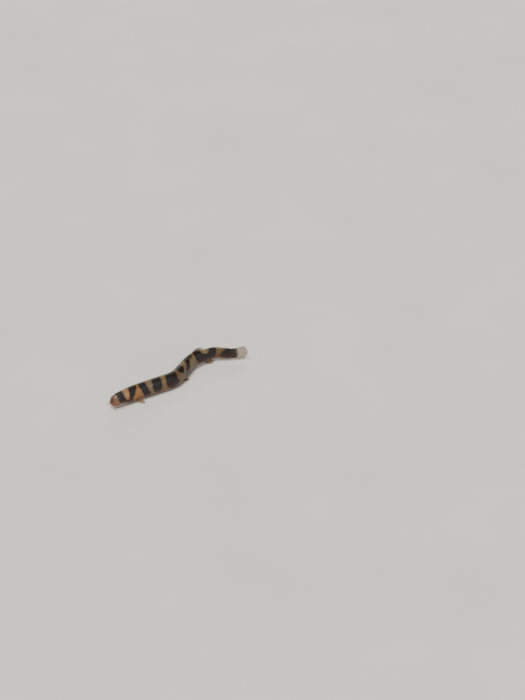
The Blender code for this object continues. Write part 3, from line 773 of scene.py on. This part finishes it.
def fin_piece(name, surface, rays, sunk, longest, rows=FIN_ROWS, dark=(0.0, 0.0, 1.0),
              level=(0.8, 0.8), flare=(0.30, 0.34)):
    """A thin rayed fin on surface(u, v): u along its root, v out to its edge. sunk is how far a ray
    goes into the body, longest how far the longest comes out. dark is how dusky its root is, how far
    out it stays so and over what length it fades, level how high on the body its first and last rays
    grow, as a share of the depth, and flare how much its root thickens and how far out."""
    length = sunk + longest
    root_share = sunk / length
    columns = rays * COLUMNS_A_RAY + 1
    u, v = np.meshgrid(np.linspace(0, 1, columns), np.linspace(0, 1, rows), indexing="ij")
    pattern = ray_pattern(u, v, rays)
    ray = np.clip((u * rays).astype(int), 0, rays - 1)
    tatter = rng.uniform(0.0, TATTER, rays)[ray]
    reach = v * (1.0 - (SCALLOP * (1.0 - pattern) + tatter) * climb(v, *WORN))
    middle = surface(u, reach)
    step = 0.01
    across = surface(np.clip(u + step, 0, 1), reach) - surface(np.clip(u - step, 0, 1), reach)
    along = surface(u, np.clip(reach + step, 0, 1)) - surface(u, np.clip(reach - step, 0, 1))
    over = unit(np.cross(along, across))
    beyond = (v - root_share) * length
    joints = 1.0 + RAY_JOINT_SHARE * np.cos(2 * np.pi * beyond / RAY_JOINT)
    ridges = pattern * climb(beyond, *RISES)
    half = mixed(*MEMBRANE, v) + mixed(*RAY, v) * ridges * joints
    half += flare[0] * np.exp(-np.abs(beyond) / flare[1])
    half *= mixed(1.0, EDGE_SHARE, climb(v, *THINS))
    front = middle + over * (half * MM)[..., None]
    rear = middle - over * (half * MM)[..., None]
    total = columns * rows
    faces = []
    for a, b, c, d in grid_faces(columns, rows, False):
        faces.append((a, b, c, d))
        faces.append((d + total, c + total, b + total, a + total))
    grid = np.arange(total).reshape(columns, rows)
    sides = grid[:, 0], grid[-1, 1:], grid[-2::-1, -1], grid[0, -2:0:-1]
    rim = np.concatenate(sides).tolist()
    faces += [(a, a + total, b + total, b) for a, b in zip(rim[1:] + rim[:1], rim)]
    made = make_object(name, np.vstack([front.reshape(-1, 3), rear.reshape(-1, 3)]), faces,
                       fin_material())
    uneven = rng.uniform(-STAIN_UNEVEN, STAIN_UNEVEN, rays)[ray]
    stain = beyond + uneven - STAIN_LEAD * pattern - dark[1]
    for word, values in (
        ("ray", pattern),
        ("outward", np.clip((v - root_share) / (1 - root_share), 0, 1)),
        ("dusk", dark[0] * (1.0 - smooth(stain / dark[2]))),
        ("high", mixed(*level, u)),
    ):
        give(made, word, np.tile(values.ravel(), 2))
    return made


# The fins' sizes, as in the solids. A root is its two ends behind the snout. Each pair of numbers after
# it is for the first ray and the last: what it loses of the longest ray, or its angle in degrees.
DORSAL_ROOT = (52.0, 56.2)
DORSAL_RAYS = 8
DORSAL_SUNK = 0.7
DORSAL_LONGEST = 5.9
DORSAL_LOSS = (0.24, 0.44)
DORSAL_RAKE = (32.0, 58.0)
DORSAL_RAKE_GROWTH = 14.0
DORSAL_SWAY = 0.35
ANAL_ROOT = (58.6, 62.4)
ANAL_RAYS = 7
ANAL_SUNK = 0.55
ANAL_LONGEST = 5.6
ANAL_LOSS = (0.22, 0.40)
ANAL_RAKE = (44.0, 60.0)
ANAL_STRAIGHT = 0.50
ANAL_FOLD = 0.85
ANAL_LEAN = 91.0
ANAL_PIECES = 24
CAUDAL_RAYS = 14
CAUDAL_SUNK = 1.3
CAUDAL_LENGTH = 8.6
CAUDAL_ROOT_INSET = 0.45
CAUDAL_SPREAD = (11.5, -8.0)
CAUDAL_CORNER_LOSS = 2.1
CAUDAL_CORNER_POWER = 2.3
CAUDAL_SWAY = -0.5
# Each paired fin's root, its turns round the body, its rays' angles, their number, how much is sunk and
# how long the longest is, and how steeply they drop.
PAIRED_FINS = {
    "pectoral": ((12.0, 13.3), (117.0, 123.0), (42.0, 20.0), 8, 0.8, 5.8, 0.17),
    "pelvic": ((39.6, 40.7), (137.0, 139.0), (38.0, 14.0), 6, 0.7, 4.1, 0.10),
}
PAIRED_LOSS = (0.24, 0.40)
PAIRED_CURL = 0.06
PAIRED_ROOT_SLOPE = 0.3


def ray_length(u, longest, loss):
    """The length of the ray at u: rounded at the front, falling off to the rear."""
    return longest * (1 - loss[0] * (1 - u) ** 3 - loss[1] * u**2)


def dorsal_piece():
    """The fin on the back, raked to the rear."""
    def surface(u, v):
        s = mixed(*DORSAL_ROOT, u)
        length = (DORSAL_SUNK + ray_length(u, DORSAL_LONGEST, DORSAL_LOSS)) * v
        rake = np.radians(mixed(*DORSAL_RAKE, u) + DORSAL_RAKE_GROWTH * v)
        foot = section(s)[0] - DORSAL_SUNK
        return placed(s + length * np.sin(rake), DORSAL_SWAY * v * v, foot + length * np.cos(rake))

    return fin_piece(
        "dorsal_veil", surface, DORSAL_RAYS, DORSAL_SUNK, DORSAL_LONGEST, dark=(0.70, 1.0, 5.0)
    )


def anal_piece():
    """The fin under the tail, folded over sideways onto the floor."""
    def surface(u, v):
        s = mixed(*ANAL_ROOT, u)
        length = (ANAL_SUNK + ray_length(u, ANAL_LONGEST, ANAL_LOSS)) * v
        rake = np.radians(mixed(*ANAL_RAKE, u))
        reach = length * np.cos(rake)
        drop, left = np.zeros_like(reach), np.zeros_like(reach)
        for k in range(ANAL_PIECES):
            walked = reach * (k + 0.5) / ANAL_PIECES
            lean = np.radians(ANAL_LEAN) * climb(walked, ANAL_STRAIGHT, ANAL_FOLD)
            drop += np.cos(lean) * reach / ANAL_PIECES
            left += np.sin(lean) * reach / ANAL_PIECES
        return placed(s + length * np.sin(rake), left, section(s)[2] + ANAL_SUNK - drop)

    return fin_piece("anal_veil", surface, ANAL_RAYS, ANAL_SUNK, ANAL_LONGEST)


def caudal_piece():
    """The tail fin, a fan with a dark root."""
    root = STANDARD_LENGTH - CAUDAL_SUNK
    back, _, belly, _ = section(root)

    def surface(u, v):
        foot = mixed(back - CAUDAL_ROOT_INSET, belly + CAUDAL_ROOT_INSET, u)
        spread = np.radians(mixed(*CAUDAL_SPREAD, u))
        corner_loss = CAUDAL_CORNER_LOSS * np.abs(2 * u - 1) ** CAUDAL_CORNER_POWER
        length = (CAUDAL_SUNK + CAUDAL_LENGTH - corner_loss) * v
        return placed(
            root + length * np.cos(spread), CAUDAL_SWAY * v * v, foot + length * np.sin(spread)
        )

    return fin_piece(
        "caudal_veil", surface, CAUDAL_RAYS, CAUDAL_SUNK, CAUDAL_LENGTH, rows=CAUDAL_ROWS,
        dark=(1.0, 0.7, 3.8), level=(0.90, 0.28), flare=(0.21, 1.2),
    )


def paired_piece(kind, word, side):
    """A pectoral or pelvic fin, spread out and to the rear close over the floor."""
    root, turns, angles, rays, sunk, longest, drop = PAIRED_FINS[kind]

    def surface(u, v):
        s = mixed(*root, u)
        foot = skin(s, np.radians(mixed(*turns, u)) * side)
        angle = np.radians(mixed(*angles, u))
        length = ray_length(u, longest, PAIRED_LOSS)
        reach = (length + sunk) * v - sunk
        beyond, inside = np.maximum(reach, 0.0), np.maximum(-reach, 0.0)
        return placed(
            s + beyond * np.cos(angle) + PAIRED_CURL * length * v * v,
            foot[..., 1] + side * (beyond * np.sin(angle) - inside),
            foot[..., 2] - drop * beyond + PAIRED_ROOT_SLOPE * inside,
        )

    return fin_piece(f"{kind}_veil_{word}", surface, rays, sunk, longest, flare=(0.13, 0.5))


# Materials.


def paint(red, green, blue):
    """A colour given as it looks on a screen, 0 to 255, as the light values that shaders take."""
    parts = (c / 255 for c in (red, green, blue))
    return (*(c / 12.92 if c <= 0.04045 else ((c + 0.055) / 1.055) ** 2.4 for c in parts), 1.0)


def new_material(name):
    """A material with its node tree and its Principled shader."""
    made = bpy.data.materials.new(name)
    made.use_nodes = True
    return made, made.node_tree, made.node_tree.nodes["Principled BSDF"]


def feed(tree, made, sources):
    """Feeds a node's inputs, by name or number, from other nodes' outputs or with values."""
    for key, source in sources.items():
        if isinstance(source, bpy.types.NodeSocket):
            tree.links.new(source, made.inputs[key])
        else:
            made.inputs[key].default_value = source


def node(tree, kind, *sources, **settings):
    """A shader node with its settings, and its first inputs fed in order."""
    made = tree.nodes.new("ShaderNode" + kind)
    for name, value in settings.items():
        setattr(made, name, value)
    feed(tree, made, dict(enumerate(sources)))
    return made


def maths(tree, operation, *sources):
    return node(tree, "Math", *sources, operation=operation).outputs[0]


def times(tree, first, second):
    return maths(tree, "MULTIPLY", first, second)


def ranged(tree, value, low, high, to_low=0.0, to_high=1.0):
    """Takes low to high smoothly to to_low to to_high, and keeps to these ends outside."""
    made = node(tree, "MapRange", value, low, high, to_low, to_high, interpolation_type="SMOOTHSTEP")
    return made.outputs[0]


def blended(tree, factor, first, second):
    """The first colour where factor is 0, the second where it is 1."""
    made = node(tree, "Mix", data_type="RGBA")
    feed(tree, made, {0: factor, 6: first, 7: second})
    return made.outputs[2]


def ramp(tree, factor, stops):
    """Colours by factor. A stop is its place, and its colour as paint() takes it."""
    made = node(tree, "ValToRGB", factor)
    elements = made.color_ramp.elements
    while len(elements) < len(stops):
        elements.new(0.5)
    for element, (place, *colour) in zip(elements, stops):
        element.position = place
        element.color = paint(*colour)
    return made.outputs[0]


def stored(tree, name):
    """A number that give() stored on the points."""
    return node(tree, "Attribute", attribute_name=name).outputs["Fac"]


def noise(tree, size_mm, detail=2.0, roughness=0.5):
    """Soft noise, about -1 to 1, in patches of about size_mm."""
    made = node(tree, "TexNoise", node(tree, "TexCoord").outputs["Object"])
    feed(tree, made, {"Scale": 1.0 / (size_mm * MM), "Detail": detail, "Roughness": roughness})
    return maths(tree, "MULTIPLY_ADD", made.outputs[0], 2.0, -1.0)


def relief_of(tree, height, distance_mm):
    """The normals of a fine relief."""
    made = node(tree, "Bump")
    feed(tree, made, {"Strength": 1.0, "Distance": distance_mm * MM, "Height": height})
    return made.outputs[0]


# The pale skin between the bands from snout to tail, at shares of the standard length.
PALE_STOPS = (
    (0.000, 62, 40, 28),
    (0.014, 84, 56, 40),
    (0.034, 134, 104, 84),
    (0.110, 166, 130, 88),
    (0.195, 154, 108, 62),
    (0.280, 114, 101, 78),
    (0.390, 114, 97, 66),
    (0.500, 100, 82, 64),
    (0.590, 114, 95, 70),
    (0.665, 110, 98, 80),
    (0.800, 126, 112, 74),
    (0.905, 98, 80, 56),
    (0.970, 102, 76, 48),
)
# The dark bands from their lower edge to the back, a barbel from its root to its tip, and the eye from
# its pupil outward, at shares of a right angle.
DARK_STOPS = (
    (0.24, 66, 36, 22),
    (0.46, 37, 20, 13),
    (0.66, 24, 16, 12),
    (0.86, 22, 20, 17),
    (1.00, 30, 23, 15),
)
BARBEL_STOPS = (
    (0.00, 104, 74, 56),
    (0.10, 140, 100, 80),
    (0.45, 172, 130, 104),
    (1.00, 198, 162, 136),
)
EYE_STOPS = (
    (0.40, 6, 6, 8),
    (0.44, 96, 72, 40),
    (0.49, 62, 46, 28),
    (0.56, 34, 27, 22),
    (0.75, 22, 18, 18),
)


def skin_material():
    """Dark bands on pale skin, with spots and fine scales."""
    made, tree, shader = new_material("banded skin")
    along, high = stored(tree, "along"), stored(tree, "high")

    # The pale skin, mottled, dusky on the back, with painted shade low on the flank, and ruddy on the
    # cheek.
    pale = ramp(tree, maths(tree, "DIVIDE", along, STANDARD_LENGTH), PALE_STOPS)
    mottle = noise(tree, 0.9, 4.0, 0.62)
    pale = blended(tree, ranged(tree, mottle, -0.1, 0.8, 0.0, 0.42), pale, paint(82, 54, 32))
    dusk = ranged(tree, high, 0.80, 1.02, 0.0, 0.35)
    pale = blended(tree, dusk, pale, paint(86, 64, 38))
    # Painted shade: the pale skin darkens low on the flank, more so towards the tail.
    shade = ranged(tree, along, 20.0, 46.0, 0.16, 0.46)
    shade = times(tree, ranged(tree, high, 0.90, 0.50), shade)
    pale = blended(tree, shade, pale, paint(78, 57, 35))
    # Towards the belly the skin turns brown: partly the belly's own tone, partly painted shade under
    # the body.
    belly = ranged(tree, high, 0.50, 0.12, 0.0, 0.72)
    pale = blended(tree, belly, pale, paint(116, 84, 54))
    cheek = ranged(tree, high, 0.80, 0.55, 0.0, 0.55)
    cheek = times(tree, ranged(tree, along, 4.4, 1.6), cheek)
    pale = blended(tree, cheek, pale, paint(142, 94, 78))

    # The bands, with uneven edges and a brown rim on the pale skin round them.
    dark = ramp(tree, high, DARK_STOPS)
    dark = blended(tree, ranged(tree, mottle, 0.05, 0.9, 0.0, 0.20), dark, paint(92, 56, 36))
    edge = maths(tree, "MULTIPLY_ADD", noise(tree, 1.7, 3.0, 0.6), 0.70, stored(tree, "band"))
    edge = maths(tree, "MULTIPLY_ADD", noise(tree, 0.32), 0.12, edge)
    banded = ranged(tree, edge, -0.28, 0.22)
    rim = ranged(tree, edge, -1.4, -0.1)
    pale = blended(tree, times(tree, rim, 0.42), pale, paint(92, 58, 34))
    colour = blended(tree, banded, pale, dark)

    # Spots near the bands and on the snout, specks all over, the gills' flush, and painted shade in the
    # hollows.
    spotted = maths(tree, "MAXIMUM", rim, ranged(tree, along, 4.5, 2.5, 0.0, 0.7))
    spots = times(tree, ranged(tree, noise(tree, 0.5), 0.22, 0.46), spotted)
    colour = blended(tree, times(tree, spots, 0.75), colour, paint(44, 30, 22))
    speckle = ranged(tree, noise(tree, 0.16, 1.0), 0.34, 0.62, 0.0, 0.28)
    colour = blended(tree, speckle, colour, paint(46, 32, 24))
    flush = maths(tree, "MULTIPLY_ADD", noise(tree, 0.8), 0.3, stored(tree, "flush"))
    colour = blended(tree, ranged(tree, flush, 0.10, 1.0, 0.0, 0.70), colour, paint(86, 28, 17))
    # Painted shade: the mouth's line, the nostrils' pits, the vent and the slits darken with their
    # depth.
    hollow_shade = ranged(tree, stored(tree, "hollow_shade"), 0.03, 0.22, 0.0, 0.8)
    colour = blended(tree, hollow_shade, colour, paint(52, 24, 22))

    place = node(tree, "TexCoord").outputs["Object"]
    scales = node(tree, "TexVoronoi", place, feature="SMOOTH_F1")
    feed(tree, scales, {"Scale": 1.0 / (0.26 * MM)})
    folds = times(tree, noise(tree, 1.1), 0.6)
    relief = maths(tree, "MULTIPLY_ADD", scales.outputs["Distance"], 0.8, folds)
    feed(tree, shader, {
        "Base Color": colour,
        "Roughness": ranged(tree, noise(tree, 2.2), -0.6, 0.6, 0.30, 0.44),
        "Normal": relief_of(tree, relief, 0.022),
        "Subsurface Weight": 0.06,
        "Subsurface Radius": (1.0, 0.45, 0.3),
        "Subsurface Scale": 0.4 * MM,
        "Specular IOR Level": 0.28,
        "Coat Weight": 0.12,
        "Coat Roughness": 0.10,
    })
    return made


@functools.cache
def barbel_material():
    """Pinkish flesh, skin-brown at the root and paler to the tip."""
    made, tree, shader = new_material("barbel flesh")
    base = ramp(tree, stored(tree, "outward"), BARBEL_STOPS)
    spots = ranged(tree, noise(tree, 0.35), 0.1, 0.7, 0.0, 0.35)
    feed(tree, shader, {
        "Base Color": blended(tree, spots, base, paint(104, 68, 50)),
        "Roughness": 0.38,
        "Normal": relief_of(tree, noise(tree, 0.18), 0.015),
        "Subsurface Weight": 0.2,
        "Subsurface Radius": (1.0, 0.4, 0.3),
        "Subsurface Scale": 0.4 * MM,
        "Coat Weight": 0.4,
        "Coat Roughness": 0.15,
    })
    return made


@functools.cache
def eye_material():
    """A black pupil, a thin golden ring and a dark iris, by the angle from the eye's axis."""
    made, tree, shader = new_material("eye")
    colour = ramp(tree, maths(tree, "DIVIDE", stored(tree, "angle"), 90.0), EYE_STOPS)
    flecks = ranged(tree, noise(tree, 0.12), 0.0, 0.6, 0.0, 0.4)
    feed(tree, shader, {
        "Base Color": blended(tree, flecks, colour, paint(18, 14, 13)),
        "Roughness": 0.22,
        "Coat Weight": 1.0,
        "Coat Roughness": 0.03,
    })
    return made


@functools.cache
def fin_material():
    """Clear brownish membrane between spotted rays, stained as the bands where it is dusky."""
    made, tree, shader = new_material("fin membrane")
    ray, outward = stored(tree, "ray"), stored(tree, "outward")
    base = blended(tree, ray, paint(166, 124, 70), paint(108, 74, 40))
    spots = times(tree, ranged(tree, noise(tree, 0.55), 0.05, 0.5), ranged(tree, ray, 0.2, 0.8))
    base = blended(tree, times(tree, spots, 0.6), base, paint(70, 46, 30))
    ragged = maths(tree, "MULTIPLY_ADD", noise(tree, 0.8, 3.0), 0.35, stored(tree, "dusk"))
    dusk = ranged(tree, ragged, 0.12, 0.80)
    wash = ranged(tree, ragged, -0.12, 0.30, 0.0, 0.55)
    base = blended(tree, wash, base, paint(118, 76, 40))
    stain = ramp(tree, stored(tree, "high"), DARK_STOPS)
    base = blended(tree, times(tree, dusk, 0.97), base, stain)
    solid = ranged(tree, ray, 0.0, 0.7, 0.30, 0.72)
    for part in (ranged(tree, outward, 0.22, 0.0), times(tree, wash, 0.9), times(tree, dusk, 0.9)):
        solid = maths(tree, "MAXIMUM", solid, part)
    feed(tree, shader, {
        "Base Color": base,
        "Alpha": solid,
        "Roughness": 0.36,
        "Normal": relief_of(tree, noise(tree, 0.25), 0.012),
        "Specular IOR Level": 0.3,
        "Coat Weight": 0.15,
        "Coat Roughness": 0.15,
    })
    return made


def floor_material():
    """A pale floor, faintly uneven."""
    made, tree, shader = new_material("pale floor")
    tone = ranged(tree, noise(tree, 60.0), -0.6, 0.6)
    colour = blended(tree, tone, (0.76, 0.74, 0.71, 1.0), (0.81, 0.79, 0.76, 1.0))
    feed(tree, shader, {"Base Color": colour, "Roughness": 0.7})
    return made


# The studio.


def view_axes(back):
    """The directions right and up of a look against the direction back."""
    right = unit(np.cross((0.0, 0.0, 1.0), back))
    return right, np.cross(back, right)


def look_from(made, back):
    """Turns an object so that it looks against the direction back."""
    rotation = np.stack([*view_axes(back), back], axis=1)
    made.rotation_euler = Matrix(rotation.tolist()).to_euler()


def camera():
    """Puts the camera where the snout's tip falls on its place in the picture."""
    azimuth, elevation = math.radians(CAMERA_AZIMUTH), math.radians(CAMERA_ELEVATION)
    back = np.array((
        math.sin(azimuth) * math.cos(elevation),
        -math.cos(azimuth) * math.cos(elevation),
        math.sin(elevation),
    ))
    right, up = view_axes(back)
    scale = CAMERA_DISTANCE * MM / FOCAL_PIXELS
    aside = (SNOUT_PIXEL[0] - PICTURE[0] / 2) * scale
    above = (PICTURE[1] / 2 - SNOUT_PIXEL[1]) * scale
    snout = placed(0.0, 0.0, section(0.0)[1])
    lens = bpy.data.cameras.new("camera")
    lens.lens = SENSOR * FOCAL_PIXELS / PICTURE[1]
    lens.sensor_width = SENSOR
    lens.clip_start = 0.01
    made = linked("camera", lens)
    made.location = snout - right * aside - up * above + back * CAMERA_DISTANCE * MM
    look_from(made, back)
    bpy.context.scene.camera = made


def soft_light(name, towards, width_degrees, strength, colour):
    """A far lamp as wide in the sky as width_degrees, so it lights the whole floor alike."""
    lamp = bpy.data.lights.new(name, "SUN")
    lamp.angle = math.radians(width_degrees)
    lamp.energy = strength
    lamp.color = colour
    made = linked(name, lamp)
    made.location = towards
    look_from(made, unit(np.array(towards)))


def surroundings():
    """A dim, even sky over a pale band where the floor ends."""
    world = bpy.data.worlds.new("studio")
    world.use_nodes = True
    tree = world.node_tree
    way = node(tree, "TexCoord").outputs["Generated"]
    height = ranged(tree, node(tree, "SeparateXYZ", way).outputs["Z"], 0.08, 0.26)
    feed(tree, tree.nodes["Background"], {"Color": blended(tree, height, HORIZON, SKY)})
    bpy.context.scene.world = world


def studio():
    """The sky, the lamps and the floor."""
    surroundings()
    for name, lamp in LAMPS.items():
        soft_light(name, *lamp)
    corners = [(x * FLOOR_REACH, y * FLOOR_REACH, 0.0) for x, y in ((-1, -1), (1, -1), (1, 1), (-1, 1))]
    make_object("floor", corners, [(0, 1, 2, 3)], floor_material())


def dress(piece, slot, *nodes):
    """Rides a piece on the body, in place of the nodes that it stands for."""
    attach(piece, "root")
    if nodes:
        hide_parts(*nodes)


camera()
studio()
dress(skin_piece(), "skin", "head", "trunk_front", "trunk_middle", "trunk_rear", "tail_stalk")
dress(dorsal_piece(), "fin", "dorsal_fin")
dress(anal_piece(), "fin", "anal_fin")
dress(caudal_piece(), "fin", "caudal_fin")
for word, side in (("left", 1), ("right", -1)):
    dress(eye_piece(word, side), "eye", f"eye_{word}")
    dress(nostril_piece(word, side), "barbel")
    for kind in PAIRED_FINS:
        dress(paired_piece(kind, word, side), "fin", f"{kind}_fin_{word}")
    for kind in BARBELS:
        dress(barbel_piece(kind, word, side), "barbel", f"barbel_{kind}_{word}")
